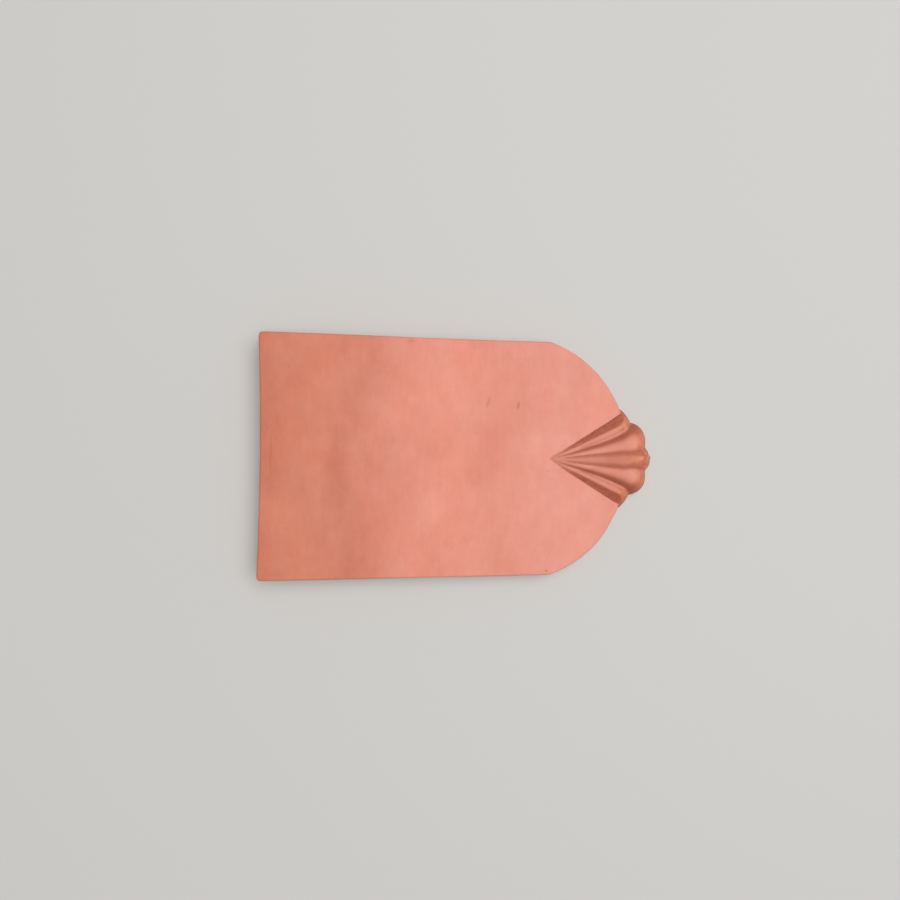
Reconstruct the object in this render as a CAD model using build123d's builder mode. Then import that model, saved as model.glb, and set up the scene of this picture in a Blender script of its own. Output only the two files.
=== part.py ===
from build123d import *
from math import asin, cos, radians, sin, tan
import os

os.makedirs("parts", exist_ok=True)

# Plate: head at -X, round tail at +X, underside on Z = 0.
overall_length = 253.5
width = 150.0
thickness = 12.0
side_length = 181.7
plate_length = 235.7
head_hollow = 1.6
head_corner_radius = 2.5
face_edge_radius = 1.0

# Scallop shell on the tail: five ribs fan out from one point of the face.
shell_length = 72.9
shell_half_angle = 31.5
recess_slope = 0.2
nose_steps = 4
bend_clearance = 1.0
skin_gap = 1e-3

# Centre rib.
centre_rise = 0.126
centre_radius = 8.0
centre_end_radius = 10.2
centre_nose_radius = 18.0
centre_arc = 80.0

# Rib on each side of the centre.
inner_azimuth = 9.8
inner_rise = 0.115
inner_reach = 70.5
inner_radius = 8.2
inner_end_radius = 11.6
inner_nose_radius = 18.0
inner_flare = 2.2
inner_arc = 80.0

# Outer rib, low and flat-topped.
outer_azimuth = 20.5
outer_rise = 0.02
outer_reach = 63.5
outer_radius = 14.5
outer_end_radius = 17.0
outer_nose_radius = 12.0
outer_flare = 3.0
outer_arc = 55.0

# Channel outside the outer rib: its ridge on the rib, and its foot below the face.
channel_ridge_angle = 25.2
channel_ridge_slope = 0.01
channel_foot_angle = 30.5
channel_foot_slope = 0.11

# Solid clay under the ribs, beyond the plate.
core_reach = 58.0
core_half_angle = 24.0
core_drop = 4.0
trim_depth = 50.0

# Nib under the head, which hooks over a roof batten.
nib_width = 40.0
nib_length = 16.0
nib_height = 10.0
nib_setback = 12.0
nib_draft = 6.0
nib_corner_radius = 4.0
nib_edge_radius = 2.0

head_x = -overall_length / 2
side_end_x = head_x + side_length
tail_x = head_x + plate_length
apex_x = overall_length / 2 - shell_length


def section(crest, forward, up, radius, arc, depth):
    """Rib section: an arc over the crest point, and straight sides down to the given depth."""
    half_width = radius * sin(radians(arc))
    shoulder = -radius * (1 - cos(radians(arc)))
    with BuildSketch(Plane(origin=crest, x_dir=up.cross(forward), z_dir=forward)) as sketch:
        with BuildLine():
            ThreePointArc((-half_width, shoulder), (0, 0), (half_width, shoulder))
            Line((half_width, shoulder), (half_width, -depth))
            Line((half_width, -depth), (-half_width, -depth))
            Line((-half_width, -depth), (-half_width, shoulder))
        make_face()
    return sketch.sketch


def rib(azimuth, rise, reach, radius, end_radius, nose_radius, flare, arc):
    """One rib: a cone from the apex, then a nose that bends down and out to the underside."""
    tilt = asin(rise)
    straight = reach - nose_radius * (1 + rise)
    swell = radius * nose_radius / straight
    sections = []
    for step in range(nose_steps + 1):
        bend = radians(90) * step / nose_steps
        slope = bend - tilt
        crest = Vector(
            straight + nose_radius * (sin(slope) + rise),
            flare * (1 - cos(bend)),
            straight * rise - nose_radius * (cos(tilt) - cos(slope)),
        )
        travel = Vector(nose_radius * cos(slope), flare * sin(bend), -nose_radius * sin(slope))
        forward = travel.normalized()
        outward = Vector(sin(slope), 0, cos(slope))
        up = (outward - forward * outward.dot(forward)).normalized()
        grown = radius + swell * sin(bend) + (end_radius - radius - swell) * (1 - cos(bend))
        sections.append(section(crest, forward, up, grown, arc, nose_radius - bend_clearance))
    outlines = [each.faces()[0].outer_wire() for each in sections]
    cone = Solid.make_loft([Vertex(0, 0, 0), outlines[0]], ruled=True)
    nose = Solid.make_loft(outlines)
    joint = sections[0].faces()[0].center()
    skin = [each for each in cone.faces() + nose.faces() if (each.center() - joint).length > skin_gap]
    with BuildPart() as body:
        add(Solid(Shell(skin)))
        extrude(sections[-1].faces()[0], amount=thickness)
    return body.part.rotate(Axis.Z, azimuth)


centre_rib = rib(
    0, centre_rise, shell_length, centre_radius, centre_end_radius, centre_nose_radius, 0, centre_arc
)
inner_rib = rib(
    inner_azimuth, inner_rise, inner_reach, inner_radius,
    inner_end_radius, inner_nose_radius, inner_flare, inner_arc,
)
outer_rib = rib(
    outer_azimuth, outer_rise, outer_reach, outer_radius,
    outer_end_radius, outer_nose_radius, outer_flare, outer_arc,
)

# Recess for the shell: a pyramid from the apex, open at the tail.
shell_end = Plane(origin=(overall_length / 2, 0, thickness), x_dir=(0, 1, 0), z_dir=(1, 0, 0))
edge_y = shell_length * tan(radians(shell_half_angle))
floor_z = -recess_slope * shell_length
with BuildPart() as recess:
    with BuildSketch(shell_end) as mouth:
        with Locations((0, floor_z)):
            Rectangle(2 * edge_y, thickness - floor_z, align=(Align.CENTER, Align.MIN))
    loft(sections=[Vertex(apex_x, 0, thickness), mouth.sketch], ruled=True)

# Channel: a pyramid between the edge of the face and the ridge of the outer rib.
with BuildPart() as channel:
    with BuildSketch(shell_end) as mouth:
        with BuildLine():
            foot_y = shell_length * tan(radians(channel_foot_angle))
            foot_z = -shell_length * channel_foot_slope
            ridge_y = shell_length * tan(radians(channel_ridge_angle))
            ridge_z = shell_length * channel_ridge_slope
            Polyline(
                (edge_y, thickness), (edge_y, 0), (foot_y, foot_z),
                (ridge_y, ridge_z), (ridge_y, thickness), close=True,
            )
        make_face()
    loft(sections=[Vertex(apex_x, 0, thickness), mouth.sketch], ruled=True)

with BuildPart() as roof_tile:
    with BuildSketch() as outline:
        with BuildLine():
            ThreePointArc((head_x, -width / 2), (head_x + head_hollow, 0), (head_x, width / 2))
            Line((head_x, width / 2), (side_end_x, width / 2))
            ThreePointArc((side_end_x, width / 2), (tail_x, 0), (side_end_x, -width / 2))
            Line((side_end_x, -width / 2), (head_x, -width / 2))
        make_face()
        fillet(outline.vertices().group_by(Axis.X)[0], head_corner_radius)
    extrude(amount=thickness)
    fillet(roof_tile.faces().sort_by(Axis.Z)[-1].edges(), face_edge_radius)

    # Shell.
    add(recess.part, mode=Mode.SUBTRACT)
    with Locations((apex_x, 0, thickness)):
        add(outer_rib)
        add(outer_rib.mirror(Plane.XZ))
    add(channel.part, mode=Mode.SUBTRACT)
    mirror(channel.part, about=Plane.XZ, mode=Mode.SUBTRACT)
    with Locations((apex_x, 0, thickness)):
        add(centre_rib)
        add(inner_rib)
        add(inner_rib.mirror(Plane.XZ))

    # Clay under the ribs.
    with BuildSketch() as core:
        with BuildLine():
            corner_x = apex_x + core_reach * cos(radians(core_half_angle))
            corner_y = core_reach * sin(radians(core_half_angle))
            Line((apex_x, 0), (corner_x, -corner_y))
            ThreePointArc((corner_x, -corner_y), (apex_x + core_reach, 0), (corner_x, corner_y))
            Line((corner_x, corner_y), (apex_x, 0))
        make_face()
    extrude(amount=thickness - core_drop)

    # Rib noses end flush with the underside.
    with BuildSketch():
        with Locations((apex_x + shell_length / 2, 0)):
            Rectangle(2 * shell_length, width)
    extrude(amount=-trim_depth, mode=Mode.SUBTRACT)

    # Nib.
    with BuildSketch():
        with Locations((head_x + nib_setback + nib_length / 2, 0)):
            RectangleRounded(nib_length, nib_width, nib_corner_radius)
    extrude(amount=-nib_height, taper=nib_draft)
    fillet(roof_tile.faces().sort_by(Axis.Z)[0].edges(), nib_edge_radius)

roof_tile.part.label = "roof_tile"
export_step(roof_tile.part, "parts/roof_tile.step")
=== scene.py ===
import bpy
import numpy as np
from math import cos, radians, sin
from mathutils import Matrix, Vector, noise
from mathutils.bvhtree import BVHTree


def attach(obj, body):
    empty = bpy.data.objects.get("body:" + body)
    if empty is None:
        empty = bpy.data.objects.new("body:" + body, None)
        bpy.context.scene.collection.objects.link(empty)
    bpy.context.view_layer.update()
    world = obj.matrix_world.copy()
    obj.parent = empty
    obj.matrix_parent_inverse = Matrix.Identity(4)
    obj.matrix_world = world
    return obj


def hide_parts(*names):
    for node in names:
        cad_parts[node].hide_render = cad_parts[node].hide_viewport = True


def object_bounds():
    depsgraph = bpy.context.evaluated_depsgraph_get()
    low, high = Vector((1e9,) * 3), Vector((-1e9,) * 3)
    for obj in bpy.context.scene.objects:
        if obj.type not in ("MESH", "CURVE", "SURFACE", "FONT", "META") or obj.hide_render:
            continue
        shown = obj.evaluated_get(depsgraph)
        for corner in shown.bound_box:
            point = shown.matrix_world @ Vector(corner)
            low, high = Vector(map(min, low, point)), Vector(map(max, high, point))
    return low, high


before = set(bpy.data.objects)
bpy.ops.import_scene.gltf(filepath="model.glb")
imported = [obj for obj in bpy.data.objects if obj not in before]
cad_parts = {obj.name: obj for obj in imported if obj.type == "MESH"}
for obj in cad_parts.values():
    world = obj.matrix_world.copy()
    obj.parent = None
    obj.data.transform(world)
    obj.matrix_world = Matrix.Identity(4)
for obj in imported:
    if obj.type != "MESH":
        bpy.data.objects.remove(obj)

cad_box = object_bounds()
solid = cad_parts["roof_tile"]
MM = 0.001

# Places on the solid that the finer relief is measured from
FACE = 12 * MM
HEAD_X = cad_box[0][0]
TAIL_X = cad_box[1][0]
NIB_Z = cad_box[0][2]
NIB_X = HEAD_X + 28 * MM
SHELL_LENGTH = 72.9 * MM
APEX_X = TAIL_X - SHELL_LENGTH

# Degrees from the shell's centre line: its edge, the centre rib's edge, the valleys and the channels
SHELL_HALF_ANGLE = 31.5
CENTRE_HALF_ANGLE = 5.5
INNER_VALLEY = 5.0
OUTER_VALLEY = 18.0
CHANNEL = 28.5

# Mesh of the finished tile
WELD = 0.001 * MM
VOXEL = 0.4 * MM
SMOOTHING = 7
TRIANGLES = 180000
SEED = 7

# Passes of averaging over the mesh: for the way it faces, for the soft edge of bloom and of painted shade on
# slopes, and to find edges and hollows
FACING_PASSES = 2
BLOOM_PASSES = 5
EDGE_PASSES = 24
HOLLOW_PASSES = 9

# Upward part of the normal: what is on top, where walls and their bloom end, and where level clay starts to
# turn pale, with bloom and with painted light that leaves slopes darker
ON_TOP = 0.3
WALL = (0.0, 0.35)
WALL_BLOOM = 0.45
LEVEL = (0.70, 0.985)

# Bloom and a painted highlight on worn edges, by how far they stand out, and painted shade in hollows, by
# how deep they lie
WORN_AND_HIGHLIT_EDGE = (0.08 * MM, 0.28 * MM)
EDGE_BLOOM_AND_HIGHLIGHT = 1.1
HOLLOW = (0.01 * MM, 0.12 * MM)

# Where one part of the shell gives way to the next, in degrees
CENTRE_RIB_ENDS = (4.5, 6.5)
OUTER_RIB_STARTS = (14, 18)
SHELL_ENDS = (26, SHELL_HALF_ANGLE)

# Bloom along each kind of rib: distances from the apex, and amounts
CENTRE_BLOOM = ((15 * MM, 30 * MM, 38 * MM, 54 * MM, 62 * MM), (0.62, 0.54, 0.42, 0.60, 0.66))
INNER_BLOOM = ((15 * MM, 22 * MM, 46 * MM, 54 * MM, 62 * MM), (0.72, 0.82, 0.78, 0.92, 0.88))
OUTER_BLOOM = ((15 * MM, 30 * MM, 38 * MM, 46 * MM, 54 * MM), (0.88, 0.74, 0.72, 0.80, 0.75))

# Rib noses: outward part of their normal, their bloom, and how much of it gives way to painted shade on
# their flanks beside the outer valleys
NOSE = (0.3, 0.6)
NOSE_BLOOM = 0.5
NOSE_FLANK_SHADE = 0.7
BESIDE_VALLEY = (1.5, 5)

# Channels: half width in degrees, bloom in streaks, and more bloom near the apex
CHANNEL_SIDES = (2, 3.5)
STREAK_SIZE = 2 * MM
STREAK_BLOOM = 0.45
STREAK_LOSS = 0.1
APEX_BLOOM = 0.25
APEX_END = (12 * MM, 22 * MM)

# Inner valleys: half width in degrees, start and end, how much darker they are, partly bare clay and partly
# painted shade, and how much deeper they are
VALLEY_SIDES = (1, 3.2)
VALLEY_START = (6 * MM, 14 * MM)
VALLEY_END = (58 * MM, 64 * MM)
VALLEY_BARE_CLAY_AND_SHADE = 0.5
VALLEY_DEPTH = 0.25 * MM

# Orange clay on the noses: it starts sooner on all but the inner ribs, fades underneath and has dark spots
RUST_START = (54 * MM, 61 * MM)
RUST_SOONER = 6 * MM
RUST_UNDER = (-0.7, -0.3)
RUST_SPOT = 3 * MM
RUST_SPOT_EDGE = (0.5, 0.8)
RUST_SPOT_LOSS = 0.5

# Uneven faces: the depth of each layer of lumps, then its size, stretch, octaves and shift
UNEVEN = (
    (0.20 * MM, 45 * MM, (1, 1, 1), 2, 0.0),
    (0.06 * MM, 6 * MM, (1, 4, 1), 3, 3.7),
    (0.06 * MM, 2 * MM, (1, 1, 1), 2, 9.1),
)

# Wear of what stands proud: the least share of it that goes, what more goes in places, and their size
LEAST_WEAR = 0.1
MORE_WEAR = 0.9
WEAR_SIZE = 7 * MM

# Scored line along each outer rib, with painted shade along it
SCORE_ANGLE = 21.2
SCORE_WIDTH = 0.5 * MM
SCORE_DEPTH = 0.3 * MM
SCORE_START = (20 * MM, 26 * MM)
SCORE_END = (53 * MM, 59 * MM)
SCORE_SHADE = 0.45

# Lumpy end of the centre rib, pale on its knobs and darkened by painted shade in the hollows between them
TIP_START = (55 * MM, 61 * MM)
TIP_SIDES = (4, CENTRE_HALF_ANGLE)
KNOB_SIZE = 3.4 * MM
KNOB_DEPTH = 1.3 * MM
KNOB_EDGE = (0.35, 0.7)
KNOB_BLOOM = 0.3
KNOB_HOLLOW_SHADE = 0.9

# Chips along the edges and pits in the faces: radii in millimetres, and depths as a share of the radius
CHIPS = 60
CHIP_RADII = (1.2, 4.0)
CHIP_DEPTHS = (0.1, 0.2)
PITS = 70
PIT_RADII = (0.7, 1.3)
PIT_DEPTHS = (0.2, 0.4)

# Where chips and pits are: how far an edge or a face stands out, and the degrees about the shell without any
SHARP = 0.3 * MM
FLAT = 0.02 * MM
UNCHIPPED = 36

# Worn corners of the face, where it meets the shell at the tail
CORNER_AHEAD = 48.3 * MM
CORNER_ASIDE = 29.9 * MM
CORNER_FACING = (0.78, 0.1, 0.62)
CORNER_RADIUS = 6 * MM
CORNER_DEPTH = 1.2 * MM

# Valleys that turn aside: distances from the apex with degrees of turn, and the sides of what turns
INNER_SWING = ((24 * MM, 48 * MM, 58 * MM), (1.1, 0.6, -0.7))
INNER_SWING_SIDES = (0, 5)
OUTER_SWING = ((24 * MM, 36 * MM, 48 * MM, 58 * MM), (-1.2, -0.9, 0.2, 1.5))
OUTER_SWING_MIDDLE = 17
OUTER_SWING_SIDES = (0, 11)

# The outer rib that ends sooner: how much, and where this starts and ends
SHORT_RIB = 1.2 * MM
SHORT_START = (12, 20)
SHORT_END = (38, 62)
SHORT_REACH = (44 * MM, 56 * MM)

# The shell's place beside the centre line, which comes back somewhat towards the rim
SHELL_SHIFT = 0.9 * MM
SHIFT_START = (0, 12 * MM)
SHIFT_SIDES = (34, 60)
SHIFT_RETURN = 0.6
RETURN_REACH = (46 * MM, 60 * MM)

# The hollow long edge: its depth, half length and width
EDGE_HOLLOW = 0.4 * MM
EDGE_HALF_LENGTH = 85 * MM
EDGE_SIDES = (65 * MM, 73 * MM)

# Clay: bare where it is steep or deep, partly as painted shade, and pale where bloom and dust lie on it
BARE = (0.46, 0.13, 0.075, 1)
SALMON = (0.895, 0.349, 0.266, 1)
PINK = (0.885, 0.366, 0.290, 1)
RUSSET = (0.890, 0.337, 0.222, 1)
ORANGE = (0.90, 0.35, 0.215, 1)
DIRT = (0.36, 0.08, 0.045, 1)

# Places along the tile where salmon turns to pink, and where it turns to russet
PINK_FROM = (5 * MM, 65 * MM)
RUSSET_FROM = (-40 * MM, -110 * MM)

# Bloom along the tile: place as a share of the length from the head, and amount
BLOOM = (
    (0.0, 0.32), (0.10, 0.45), (0.16, 0.50), (0.22, 0.45),
    (0.37, 0.72), (0.46, 0.79), (0.57, 0.69), (0.76, 0.79),
)

# Blotches and streaks of bloom, and the wobble of its bands and patches: size and amount
BLOTCH_SIZE = 26 * MM
BLOTCH_BLOOM = 0.60
FINE_STREAK_SIZE = 3.2 * MM
FINE_STREAK_BLOOM = 0.12
BAND_WOBBLE = (30 * MM, 36 * MM)
PATCH_WOBBLE = (14 * MM, 12 * MM)

# Shade in hollows and of the grain, and a tint that wanders between pink and orange
HOLLOW_SHADE = 0.25
GRAIN_SIZE = 0.7 * MM
GRAIN_SHADE = 0.18
TINT_SIZE = 18 * MM
TINT_GREEN = 0.32
TINT_BLUE = 0.40

# Specks: their spacing, their edge as a share of it, which of the cells have one, and the strongest
SPECK_SPACING = 9 * MM
SPECK_EDGE = (0.075, 0.03)
SPECKED_CELLS = (0.72, 0.95)
SPECK_STRENGTH = 0.45

# Matt finish
LEAST_ROUGHNESS = 0.86
BLOTCH_ROUGHNESS = 0.12
SPECULAR = 0.3
RELIEF_SIZE = 1.8 * MM
RELIEF_SHARE = 0.8
BUMP_STRENGTH = 0.6
BUMP_DEPTH = 0.12 * MM

# Soft patches of bloom: centre, half length across the tile and half width in millimetres, turn, and change
PATCHES = (
    ((-80, -16), 36, 9, 3, -0.12),
    ((-24, 36), 20, 10, 0, 0.05),
    ((-32, 36), 6, 6, 0, 0.07),
    ((-24, -25), 28, 13, 8, 0.07),
    ((9, -8), 18, 12, 0, -0.07),
    ((-50, 7), 12, 5, 10, -0.08),
)

# Marks on the face, in the same order, with their strength last, and how soft, deep and ragged they are
MARKS = (
    ((33.4, 33.6), 3.7, 1.3, 6, 0.38),
    ((13.8, 34.9), 4.8, 1.3, 18, 0.26),
    ((-35.3, 72.0), 1.6, 3.4, 0, 0.22),
    ((-118.6, 1.0), 17.0, 0.7, 0, 0.22),
    ((52.5, -72.0), 0.7, 0.8, 0, 0.6),
    ((86.0, -6.2), 2.2, 20.0, -10, 0.22),
    ((109.5, -18.6), 2.6, 3.4, 40, 0.25),
    ((111.8, 19.4), 1.6, 2.4, -40, 0.25),
)
MARK_EDGE = (1.1, 0.3)
MARK_DEPTH = 8 * MM
MARK_WOBBLE = (3 * MM, 1.2 * MM)

# Camera, from the photograph's perspective
FOCAL_PX = 600.0
FRAME_PX = 900
EYE_HEIGHT = 370.2 * MM
CAMERA_TURN = 0.0088
CAMERA_TILT = radians(8.37)
CAMERA_AIM = (-10.25 * MM, 4.8 * MM, FACE)
CLIP_START = 0.01

# Sky: what it gives as light, how pale it looks, and how far from the tile the floor fades into it
SKY_COLOUR = (1, 0.99, 0.97, 1)
SKY_LIGHT = 0.25
SKY_SEEN = 0.70
FLOOR_FADE = (0.8, 2.6)

# Floor and lamp
FLOOR_SIZE = 16
FLOOR_COLOUR = (0.62, 0.61, 0.59, 1)
FLOOR_ROUGHNESS = 0.9
LAMP_PLACE = (0.36, 0.30, 2.4)
LAMP_SIZE = 2.2
LAMP_WATTS = 58


def applied(piece):
    """Apply the piece's modifiers to its mesh."""
    graph = bpy.context.evaluated_depsgraph_get()
    mesh = bpy.data.meshes.new_from_object(piece.evaluated_get(graph))
    piece.modifiers.clear()
    piece.data = mesh
    return mesh


def values(items, name, width, kind=np.float64):
    """One property of all the mesh's items, as an array with a row each."""
    flat = np.empty(len(items) * width, dtype=kind)
    items.foreach_get(name, flat)
    return flat.reshape(-1, width)


def relaxed(rows, ends, passes):
    """Each point's row averaged with its neighbours' along the edges, once for each pass."""
    first, second = ends.T
    count = len(rows)
    degree = np.bincount(ends.ravel(), minlength=count)
    rows = rows.copy()
    for _ in range(passes):
        for column in rows.T:
            total = np.bincount(first, column[second], count) + np.bincount(second, column[first], count)
            column += 0.5 * (total / degree - column)
    return rows


def ease(rows, low, high):
    """Smooth step from 0 at low to 1 at high."""
    t = np.clip((rows - low) / (high - low), 0, 1)
    return t * t * (3 - 2 * t)


def fade(rows, low, high):
    """Smooth step from 1 at low to 0 at high."""
    return ease(-rows, -high, -low)


def band(rows, middle, low, high):
    """1 within the low distance of the middle, and 0 beyond the high one."""
    return fade(np.abs(rows - middle), low, high)


def lumps(place, size, stretch=(1, 1, 1), octaves=3, shift=0.0):
    """Noise of 0 to 1 at each point, with lumps of about the given size. A shift gives another pattern."""
    scaled = place / (size * np.array(stretch)) + shift
    raw = [noise.fractal(Vector(point), 1.0, 2.0, octaves) for point in scaled]
    return np.clip(0.5 + 0.5 * np.array(raw), 0, 1)


def upward_part(place):
    """Upward part of the solid's normal beside each point."""
    shape = solid.data
    tree = BVHTree.FromPolygons([v.co for v in shape.vertices], [p.vertices for p in shape.polygons])
    return np.array([tree.find_nearest(Vector(point))[1].z for point in place])


class Skin:
    """Points of the fine mesh, and where each one lies on the tile and on its shell."""

    def __init__(self, mesh):
        self.place = values(mesh.vertices, "co", 3)
        self.ends = values(mesh.edges, "vertices", 2, np.int32)
        self.facing = relaxed(values(mesh.vertex_normals, "vector", 3), self.ends, FACING_PASSES)
        self.facing /= np.linalg.norm(self.facing, axis=1)[:, None]
        self.proud = self.height(EDGE_PASSES)
        self.up = upward_part(self.place)
        self.on_top = self.facing[:, 2] > ON_TOP

        # Distance from the shell's apex, degrees from its centre line, and how far each point faces outward
        x, y = self.place[:, 0] - APEX_X, self.place[:, 1]
        self.reach = np.hypot(x, y)
        self.azimuth = np.degrees(np.arctan2(y, x))
        self.aside = np.abs(self.azimuth)
        self.outward = (self.facing[:, 0] * x + self.facing[:, 1] * y) / np.maximum(self.reach, MM)

        # Share of the shell, and of each kind of rib on it
        self.shell = fade(self.aside, *SHELL_ENDS)
        self.centre = fade(self.aside, *CENTRE_RIB_ENDS)
        self.outer = ease(self.aside, *OUTER_RIB_STARTS)
        self.inner = 1 - self.centre - self.outer

    def height(self, passes):
        """How far each point stands out from the mesh averaged over the given passes."""
        return ((self.place - relaxed(self.place, self.ends, passes)) * self.facing).sum(axis=1)


def inner_valleys(skin):
    """Share of the valleys beside the centre rib."""
    valley = band(skin.aside, INNER_VALLEY, *VALLEY_SIDES) * skin.on_top
    return valley * (ease(skin.reach, *VALLEY_START) * fade(skin.reach, *VALLEY_END))


def scored_lines(skin):
    """Share of the line scored along each outer rib."""
    along = ease(skin.reach, *SCORE_START) * fade(skin.reach, *SCORE_END) * skin.on_top
    across = skin.reach * np.radians(skin.aside - SCORE_ANGLE) / SCORE_WIDTH
    return along * np.exp(-across ** 2)


def rusty_noses(skin):
    """Share of the orange clay on the rib noses."""
    reach = skin.reach + RUST_SOONER * (1 - skin.inner)
    return skin.shell * ease(reach, *RUST_START) * ease(skin.facing[:, 2], *RUST_UNDER)


def channel_bloom(skin):
    """Bloom in streaks along the channels, with more of it near the apex."""
    fan = np.stack((skin.reach, skin.reach * np.radians(skin.azimuth), skin.place[:, 2]), 1)
    streaks = STREAK_BLOOM * lumps(fan, STREAK_SIZE, stretch=(3, 1, 1), shift=6.1) - STREAK_LOSS
    channel = band(skin.aside, CHANNEL, *CHANNEL_SIDES) * skin.on_top
    return channel * (streaks + APEX_BLOOM * fade(skin.reach, *APEX_END))


def bloom_with_painted_light(skin, valley):
    """Bloom lies on level clay and on worn edges, with less of it on the shell and least in its valleys.
    Painted light goes with it: painted shade that darkens slopes, nose flanks and the valleys, and a painted
    highlight on edges.
    """
    kinds = ((skin.centre, CENTRE_BLOOM), (skin.inner, INNER_BLOOM), (skin.outer, OUTER_BLOOM))
    ribs = sum(share * np.interp(skin.reach, *amounts) for share, amounts in kinds)
    # Painted shade: slopes get less of the pale colour than level clay, as well as less bloom
    level = relaxed(ease(skin.up, *LEVEL)[:, None], skin.ends, BLOOM_PASSES)[:, 0]
    level *= 1 + skin.shell * (ribs - 1)
    walls = WALL_BLOOM * fade(skin.up, *WALL)
    # Painted highlight on the rounded edges, along with their worn, paler clay
    edges = EDGE_BLOOM_AND_HIGHLIGHT * ease(skin.proud, *WORN_AND_HIGHLIT_EDGE)
    noses = NOSE_BLOOM * skin.shell * ease(skin.outward, *NOSE)
    # Painted shade on the nose flanks beside the outer valleys
    noses *= 1 - NOSE_FLANK_SHADE * band(skin.aside, OUTER_VALLEY, *BESIDE_VALLEY)
    bloom_and_painted_light = np.maximum.reduce((level, walls, edges, noses, channel_bloom(skin)))
    # The inner valleys are darker, partly bare clay and partly painted shade
    return bloom_and_painted_light * (1 - VALLEY_BARE_CLAY_AND_SHADE * valley)


def wear(skin, depth):
    """Take the given depth off, and what makes fired clay uneven and its edges worn."""
    uneven = sum(most * lumps(skin.place, *layer) for most, *layer in UNEVEN)
    share = LEAST_WEAR + MORE_WEAR * lumps(skin.place, WEAR_SIZE, shift=5.3)
    depth = uneven + np.clip(skin.proud, 0, None) * share + depth
    skin.place -= skin.facing * depth[:, None]


def scoop(place, at, facing, radius, depth):
    """Clay lost to the given depth in a round hollow of the given radius."""
    centre = at + facing * (radius - depth)
    away = place - centre
    distance = np.linalg.norm(away, axis=1)
    inside = distance < radius
    place[inside] = centre + away[inside] * (radius / distance[inside])[:, None]


def dent(skin, spots, count, radii, depths, dice):
    """Scoop out the given count of random spots, with a random radius and depth each."""
    for point in dice.choice(np.flatnonzero(spots), count, replace=False):
        at = skin.place[point].copy()
        radius = dice.uniform(*radii) * MM
        scoop(skin.place, at, skin.facing[point], radius, dice.uniform(*depths) * radius)


def chip(skin):
    """Chip the edges, pit the faces, and wear the corners beside the shell."""
    dice = np.random.default_rng(SEED)
    plain = ~((skin.aside < UNCHIPPED) & skin.on_top)
    dent(skin, plain & (skin.proud > SHARP), CHIPS, CHIP_RADII, CHIP_DEPTHS, dice)
    dent(skin, plain & (np.abs(skin.proud) < FLAT), PITS, PIT_RADII, PIT_DEPTHS, dice)
    for side in (-1, 1):
        corner = np.array((APEX_X + CORNER_AHEAD, side * CORNER_ASIDE, FACE))
        facing = np.array(CORNER_FACING) * (1, -side, 1)
        scoop(skin.place, corner, facing, CORNER_RADIUS, CORNER_DEPTH)


def swing_valleys(skin):
    """Close the inner valleys and open the outer ones towards the rim, by turns about the apex."""
    near_inner = band(skin.aside, INNER_VALLEY, *INNER_SWING_SIDES)
    near_outer = band(skin.aside, OUTER_SWING_MIDDLE, *OUTER_SWING_SIDES)
    swing = near_inner * np.interp(skin.reach, *INNER_SWING)
    swing += near_outer * np.interp(skin.reach, *OUTER_SWING)
    angle = np.radians(np.sign(skin.azimuth) * swing)
    x, y = skin.place[:, 0] - APEX_X, skin.place[:, 1]
    skin.place[:, 0] = APEX_X + x * np.cos(angle) - y * np.sin(angle)
    skin.place[:, 1] = x * np.sin(angle) + y * np.cos(angle)


def shorten_rib(skin):
    """Draw the end of one outer rib in towards the apex."""
    beside = -skin.azimuth
    short = ease(beside, *SHORT_START) * fade(beside, *SHORT_END) * ease(skin.reach, *SHORT_REACH)
    skin.place[:, 0] -= SHORT_RIB * short * np.cos(np.radians(skin.azimuth))
    skin.place[:, 1] -= SHORT_RIB * short * np.sin(np.radians(skin.azimuth))


def shift_shell(skin):
    """Set the shell off the centre line."""
    shift = SHELL_SHIFT * (1 - SHIFT_RETURN * ease(skin.reach, *RETURN_REACH))
    skin.place[:, 1] -= shift * fade(skin.aside, *SHIFT_SIDES) * ease(skin.reach, *SHIFT_START)


def hollow_edge(skin):
    """Bend one long edge in at its middle."""
    middle = np.clip(1 - (skin.place[:, 0] / EDGE_HALF_LENGTH) ** 2, 0, None)
    skin.place[:, 1] -= EDGE_HOLLOW * middle * ease(skin.place[:, 1], *EDGE_SIDES)


def fine_mesh(tile):
    """Remesh the tile finely and soften it a little."""
    tile.modifiers.new("weld", "WELD").merge_threshold = WELD
    remesh = tile.modifiers.new("remesh", "REMESH")
    remesh.mode = "VOXEL"
    remesh.voxel_size = VOXEL
    smooth = tile.modifiers.new("smooth", "SMOOTH")
    smooth.factor = 0.5
    smooth.iterations = SMOOTHING
    return applied(tile)


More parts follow.
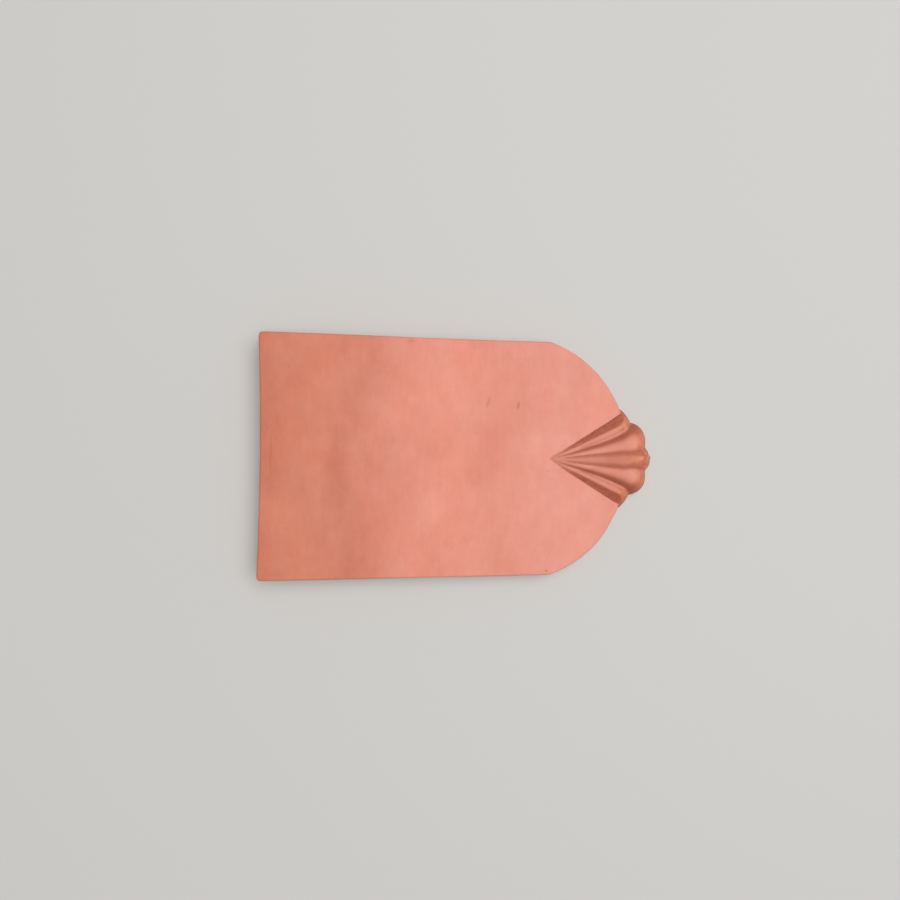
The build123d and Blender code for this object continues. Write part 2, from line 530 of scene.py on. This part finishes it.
def fired_tile():
    """The solid's shape, remeshed and worn, with its bloom and painted light, its hollows for painted shade,
    and its rust as attributes of the mesh.
    """
    tile = bpy.data.objects.new("fired_tile", solid.data.copy())
    bpy.context.scene.collection.objects.link(tile)
    mesh = fine_mesh(tile)
    skin = Skin(mesh)

    # Relief of the shell, and bloom with painted light and shade on all of the tile
    valley = inner_valleys(skin)
    score = scored_lines(skin)
    tip = ease(skin.reach, *TIP_START) * fade(skin.aside, *TIP_SIDES)
    knobs = lumps(skin.place, KNOB_SIZE, octaves=2, shift=1.9)
    rust = rusty_noses(skin)
    hollow = ease(-skin.height(HOLLOW_PASSES), *HOLLOW)
    bloom_and_painted_light = bloom_with_painted_light(skin, valley)
    # Painted shade along the scored lines and in the hollows between the knobs
    bloom_and_painted_light *= (1 - SCORE_SHADE * score) * (1 + KNOB_BLOOM * tip - KNOB_HOLLOW_SHADE * tip * ease(knobs, *KNOB_EDGE))

    # Wear, dark spots on the orange noses, and chips
    wear(skin, SCORE_DEPTH * score + KNOB_DEPTH * tip * knobs + VALLEY_DEPTH * valley)
    spots = ease(lumps(skin.place, RUST_SPOT, shift=8.2), *RUST_SPOT_EDGE)
    bloom_and_painted_light *= 1 - RUST_SPOT_LOSS * rust * spots
    chip(skin)

    # The mould isn't quite regular.
    swing_valleys(skin)
    shorten_rib(skin)
    shift_shell(skin)
    hollow_edge(skin)

    mesh.vertices.foreach_set("co", skin.place.ravel())
    for name, rows in (("bloom_and_painted_light", bloom_and_painted_light), ("hollow", hollow), ("rust", rust)):
        mesh.attributes.new(name, "FLOAT", "POINT").data.foreach_set("value", rows.astype(np.float32))
    mesh.update()
    tile.modifiers.new("thin", "DECIMATE").ratio = TRIANGLES / (2 * len(mesh.vertices))
    mesh = applied(tile)
    mesh.shade_smooth()
    mesh.materials.clear()
    return tile


class Nodes:
    """Short ways to add and join the nodes of a material or a world."""

    def __init__(self, owner, shader="Principled BSDF"):
        owner.use_nodes = True
        self.tree = owner.node_tree
        self.shader = self.tree.nodes[shader]

    def join(self, source, target):
        """Link a node's output to the target, or set the target to a plain value."""
        if isinstance(source, (int, float, tuple)):
            target.default_value = source
        else:
            self.tree.links.new(source, target)

    def add(self, kind, inputs=(), output=0, **settings):
        """A node with its inputs, by index or name, set to values or joined to outputs."""
        node = self.tree.nodes.new(kind)
        for name, value in settings.items():
            setattr(node, name, value)
        for key, source in dict(inputs).items():
            self.join(source, node.inputs[key])
        return node.outputs[output]

    def math(self, operation, a, b=0.0, c=0.0):
        return self.add("ShaderNodeMath", {0: a, 1: b, 2: c}, operation=operation)

    def vector(self, operation, a, b=(0, 0, 0)):
        output = "Value" if operation == "LENGTH" else "Vector"
        return self.add("ShaderNodeVectorMath", {0: a, 1: b}, output, operation=operation)

    def object_place(self):
        return self.add("ShaderNodeTexCoord", output="Object")

    def along(self, place):
        """The place's X."""
        return self.add("ShaderNodeSeparateXYZ", {0: place}, "X")

    def attribute(self, name):
        return self.add("ShaderNodeAttribute", output="Fac", attribute_name=name)

    def between(self, value, low, high, to_low=0.0, to_high=1.0, curve="SMOOTHSTEP"):
        """Step from to_low to to_high, as the value goes from low to high."""
        inputs = {"Value": value, "From Min": low, "From Max": high, "To Min": to_low, "To Max": to_high}
        return self.add("ShaderNodeMapRange", inputs, interpolation_type=curve)

    def noise(self, place, size, stretch=(1, 1, 1), detail=3.0, rough=0.5):
        """Noise of 0 to 1, with lumps of about the given size."""
        scaled = self.vector("DIVIDE", place, tuple(size * part for part in stretch))
        inputs = {"Vector": scaled, "Scale": 1.0, "Detail": detail, "Roughness": rough}
        return self.add("ShaderNodeTexNoise", inputs)

    def wobbled(self, place, size, amount):
        """The place moved about by noise of the given size."""
        raw = self.add("ShaderNodeTexNoise", {"Vector": place, "Scale": 1 / size}, "Color")
        centred = self.vector("SUBTRACT", raw, (0.5, 0.5, 0.5))
        return self.vector("ADD", place, self.vector("MULTIPLY", centred, (amount, amount, amount)))

    def varied(self, base, raw, amount):
        """The base, more or less by the amount of the noise above or below its middle."""
        return self.math("MULTIPLY_ADD", self.math("SUBTRACT", raw, 0.5), amount, base)

    def mix(self, amount, a, b, blend="MIX"):
        return self.add("ShaderNodeMix", {0: amount, 6: a, 7: b}, 2, data_type="RGBA", blend_type=blend)


def mark(nodes, place, centre, half_length, half_width, turn, strength):
    """Soft oval on the face, for a mark or a patch, with its length across the tile."""
    moved = nodes.vector("SUBTRACT", place, (centre[0] * MM, centre[1] * MM, FACE))
    rotation = {"Vector": moved, "Angle": radians(turn)}
    turned = nodes.add("ShaderNodeVectorRotate", rotation, rotation_type="Z_AXIS")
    sized = nodes.vector("DIVIDE", turned, (half_width * MM, half_length * MM, MARK_DEPTH))
    return nodes.between(nodes.vector("LENGTH", sized), *MARK_EDGE, 0.0, strength)


def bloom_bands(nodes, place):
    """Bloom along the tile, in bands with wandering edges."""
    x = nodes.along(nodes.wobbled(place, *BAND_WOBBLE))
    from_head = nodes.between(x, HEAD_X, -HEAD_X, curve="LINEAR")
    bands = nodes.add("ShaderNodeValToRGB", {0: from_head})
    ramp = bands.node.color_ramp
    ramp.interpolation = "EASE"
    for at, amount in BLOOM[1:-1]:
        ramp.elements.new(at)
    for element, (at, amount) in zip(ramp.elements, BLOOM):
        element.position = at
        element.color = (amount, amount, amount, 1)
    return bands


def bloom_and_painted_light_amount(nodes, place, blotch):
    """How pale the clay is, from bloom and from painted light and shade: what the mesh holds, with bloom in
    bands, blotches, streaks and patches.
    """
    streak = nodes.noise(place, FINE_STREAK_SIZE, stretch=(1, 4, 2))
    amount = nodes.varied(bloom_bands(nodes, place), blotch, BLOTCH_BLOOM)
    amount = nodes.varied(amount, streak, FINE_STREAK_BLOOM)
    uneven = nodes.wobbled(place, *PATCH_WOBBLE)
    for each in PATCHES:
        amount = nodes.math("ADD", amount, mark(nodes, uneven, *each))
    return nodes.math("MULTIPLY", amount, nodes.attribute("bloom_and_painted_light"))


def clay_colour(nodes, place, amount, grain):
    """Bare clay under pale bloom and painted light of the given amount, with painted shade in hollows,
    shaded by grain, and with a wandering tint.
    """
    x = nodes.along(place)
    pale = nodes.mix(nodes.between(x, *PINK_FROM), SALMON, PINK)
    pale = nodes.mix(nodes.between(x, *RUSSET_FROM), pale, RUSSET)
    pale = nodes.mix(nodes.attribute("rust"), pale, ORANGE)
    colour = nodes.mix(amount, BARE, pale)
    shade = nodes.math("MULTIPLY_ADD", nodes.attribute("hollow"), -HOLLOW_SHADE, 1.0)
    shade = nodes.math("MULTIPLY", shade, nodes.varied(1.0, grain, GRAIN_SHADE))
    tint = nodes.noise(place, TINT_SIZE, stretch=(1, 1.3, 1), detail=6.0, rough=0.65)
    green = nodes.math("MULTIPLY", shade, nodes.varied(1.0, tint, TINT_GREEN))
    blue = nodes.math("MULTIPLY", shade, nodes.varied(1.0, tint, TINT_BLUE))
    tinted_shade = nodes.add("ShaderNodeCombineColor", {0: shade, 1: green, 2: blue})
    return nodes.mix(1.0, colour, tinted_shade, "MULTIPLY")


def dirt_amount(nodes, place):
    """How much dirt lies on the clay, in specks and marks."""
    cells = {"Vector": place, "Scale": 1 / SPECK_SPACING, "Randomness": 1.0}
    away = nodes.add("ShaderNodeTexVoronoi", cells, "Distance", feature="F1")
    chance = nodes.add("ShaderNodeSeparateColor", {0: away.node.outputs["Color"]})
    strength = nodes.between(chance, *SPECKED_CELLS, 0.0, SPECK_STRENGTH)
    dirt = nodes.math("MULTIPLY", nodes.between(away, *SPECK_EDGE), strength)
    ragged = nodes.wobbled(place, *MARK_WOBBLE)
    for each in MARKS:
        dirt = nodes.math("MAXIMUM", dirt, mark(nodes, ragged, *each))
    return dirt


def fired_clay():
    """Matt terracotta with pale bloom, painted light and shade, faint bands across, grain, specks and marks.
    """
    clay = bpy.data.materials.new("clay")
    nodes = Nodes(clay)
    place = nodes.object_place()
    blotch = nodes.noise(place, BLOTCH_SIZE, stretch=(1, 1.5, 1), detail=8.0, rough=0.75)
    grain = nodes.noise(place, GRAIN_SIZE, detail=2.0, rough=0.7)
    colour = clay_colour(nodes, place, bloom_and_painted_light_amount(nodes, place, blotch), grain)
    nodes.join(nodes.mix(dirt_amount(nodes, place), colour, DIRT), nodes.shader.inputs["Base Color"])

    # Matt finish with a fine grain
    rough = nodes.math("MULTIPLY_ADD", blotch, BLOTCH_ROUGHNESS, LEAST_ROUGHNESS)
    nodes.join(rough, nodes.shader.inputs["Roughness"])
    nodes.shader.inputs["Specular IOR Level"].default_value = SPECULAR
    coarse = nodes.noise(place, RELIEF_SIZE, detail=4.0, rough=0.65)
    relief = nodes.math("MULTIPLY_ADD", coarse, RELIEF_SHARE, grain)
    bump = {"Height": relief, "Strength": BUMP_STRENGTH, "Distance": BUMP_DEPTH}
    nodes.join(nodes.add("ShaderNodeBump", bump), nodes.shader.inputs["Normal"])
    return clay


def photo_camera():
    """Camera at the photograph's place, almost straight above the face."""
    data = bpy.data.cameras.new("camera")
    data.lens = data.sensor_width * FOCAL_PX / FRAME_PX
    data.clip_start = CLIP_START
    back = Vector((-sin(CAMERA_TILT), 0, cos(CAMERA_TILT)))
    up = Vector((0, 1, 0))
    axes = Matrix((up.cross(back), up, back)).transposed().to_4x4()
    eye = Vector(CAMERA_AIM) + back * (EYE_HEIGHT / cos(CAMERA_TILT))
    camera = bpy.data.objects.new("camera", data)
    camera.matrix_world = Matrix.Rotation(CAMERA_TURN, 4, "Z") @ Matrix.Translation(eye) @ axes
    bpy.context.scene.collection.objects.link(camera)
    bpy.context.scene.camera = camera


def seen(nodes):
    """1 for the rays that show the background to the camera, straight or by way of gloss or glass."""
    path = nodes.add("ShaderNodeLightPath").node
    shown = path.outputs["Is Camera Ray"]
    for ray in ("Is Glossy Ray", "Is Transmission Ray"):
        shown = nodes.math("MAXIMUM", shown, path.outputs[ray])
    return shown


def pale_floor():
    """Floor at the slope on which both the nib and the tail's lower edge rest, fading into the sky."""
    slope = -NIB_Z / (TAIL_X - NIB_X)
    bpy.ops.mesh.primitive_plane_add(size=FLOOR_SIZE, location=(TAIL_X, 0, 0), rotation=(0, -slope, 0))
    floor = bpy.context.object
    floor.name = "floor"
    paper = bpy.data.materials.new("floor")
    nodes = Nodes(paper)
    nodes.shader.inputs["Base Color"].default_value = FLOOR_COLOUR
    nodes.shader.inputs["Roughness"].default_value = FLOOR_ROUGHNESS
    away = nodes.vector("LENGTH", nodes.object_place())
    fading = nodes.math("MULTIPLY", seen(nodes), nodes.between(away, *FLOOR_FADE))
    glow = nodes.add("ShaderNodeEmission", {"Color": SKY_COLOUR, "Strength": SKY_SEEN})
    mixed = nodes.add("ShaderNodeMixShader", {0: fading, 1: nodes.shader.outputs[0], 2: glow})
    nodes.join(mixed, nodes.tree.nodes["Material Output"].inputs["Surface"])
    floor.data.materials.append(paper)
    return floor


def soft_lamp():
    """Large square lamp above the tile, facing it."""
    light = bpy.data.lights.new("key", "AREA")
    light.size = LAMP_SIZE
    light.energy = LAMP_WATTS
    lamp = bpy.data.objects.new("key", light)
    lamp.location = LAMP_PLACE
    lamp.rotation_euler = (-Vector(LAMP_PLACE)).to_track_quat("-Z", "Y").to_euler()
    bpy.context.scene.collection.objects.link(lamp)


def sky():
    """Sky that looks paler than the light it gives."""
    world = bpy.data.worlds.new("world")
    bpy.context.scene.world = world
    nodes = Nodes(world, "Background")
    nodes.shader.inputs["Color"].default_value = SKY_COLOUR
    strength = nodes.between(seen(nodes), 0.0, 1.0, SKY_LIGHT, SKY_SEEN)
    nodes.join(strength, nodes.shader.inputs["Strength"])


tile = fired_tile()
tile.data.materials.append(fired_clay())
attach(tile, "root")
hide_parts("roof_tile")

photo_camera()
floor = pale_floor()
soft_lamp()
sky()
bpy.context.scene.view_settings.view_transform = "Standard"
